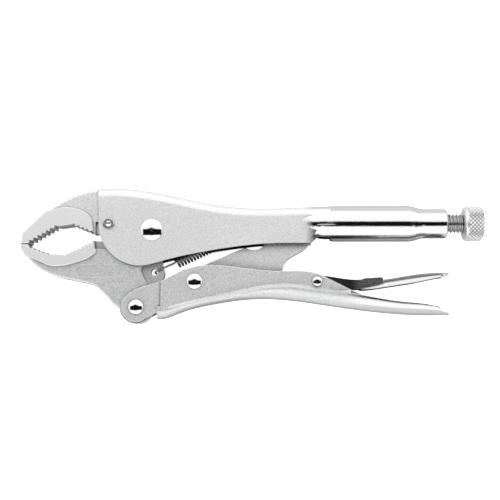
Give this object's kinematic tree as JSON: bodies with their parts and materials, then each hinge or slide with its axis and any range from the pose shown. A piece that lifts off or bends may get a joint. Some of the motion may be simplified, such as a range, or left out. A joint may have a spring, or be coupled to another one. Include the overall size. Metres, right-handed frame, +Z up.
{
  "type": "curved-jaw locking pliers",
  "caption": "Curved-jaw locking pliers with toothed jaws and wire cutter, adjusting knob, toggle link and release lever, lying flat, shown locked with the jaws closed.",
  "frame": {"origin": "on the main pivot's axis, on the small flat of its lower rivet head, which is the plane the pliers rest on", "axes": "+X from the jaws towards the adjusting knob, +Y from the lower handle towards the upper one, +Z up through the thickness"},
  "size_m": [0.2515, 0.074, 0.0198],
  "materials": {
    "satin_steel": "satin blasted nickel and chrome plate",
    "forged_steel": "blasted forging with nickel and chrome plate",
    "polished_steel": "polished",
    "screw_steel": "bright plated",
    "spring_steel": "drawn wire"
  },
  "bodies": {
    "upper_handle": {"upper_handle": "satin_steel", "upper_jaw": "forged_steel", "upper_jaw_rivet": "polished_steel", "main_pivot_rivet": "polished_steel", "tension_spring": "spring_steel"},
    "lower_jaw": {"lower_jaw": "forged_steel"},
    "lower_handle": {"lower_handle": "satin_steel", "lower_pivot_rivet": "polished_steel", "link_rivet": "polished_steel", "release_lever_rivet": "polished_steel"},
    "toggle_link": {"toggle_link": "forged_steel"},
    "release_lever": {"release_lever": "satin_steel"},
    "screw_tip": {"screw_tip": "screw_steel"},
    "adjusting_screw": {"adjusting_screw": "screw_steel"}
  },
  "joints": [
    {"name": "jaw_pivot", "type": "hinge", "parent": "upper_handle", "child": "lower_jaw", "pos_m": [0, 0, 0.0099], "axis": [0, 0, 1], "range_deg": [0, 19.2], "deforming": ["tension_spring"]},
    {"name": "handle_pivot", "type": "hinge", "parent": "lower_jaw", "child": "lower_handle", "pos_m": [-0.0082, -0.0417, 0.0099], "axis": [0, 0, 1], "range_deg": [-58.6, 0]},
    {"name": "link_pivot", "type": "hinge", "parent": "lower_handle", "child": "toggle_link", "pos_m": [0.0233, -0.0279, 0.0099], "axis": [0, 0, 1], "range_deg": [0, 64.2]},
    {"name": "release_pivot", "type": "hinge", "parent": "lower_handle", "child": "release_lever", "pos_m": [0.0894, -0.0279, 0.0099], "axis": [0, 0, 1], "range_deg": [-7, 0]},
    {"name": "screw_advance", "type": "slide", "parent": "upper_handle", "child": "screw_tip", "axis": [1, 0, 0], "range_m": [0, 0.021]},
    {"name": "screw_turn", "type": "hinge", "parent": "screw_tip", "child": "adjusting_screw", "pos_m": [0.173, 0.0042, 0.0099], "axis": [1, 0, 0], "range_deg": [0, 3790]}
  ],
  "couplings": [
    {"joint": "jaw_pivot", "follows": "handle_pivot", "ratio": -0.324},
    {"joint": "link_pivot", "follows": "handle_pivot", "ratio": -1.09},
    {"joint": "screw_turn", "follows": "screw_advance", "rad_per_m": 3141.6}
  ]
}
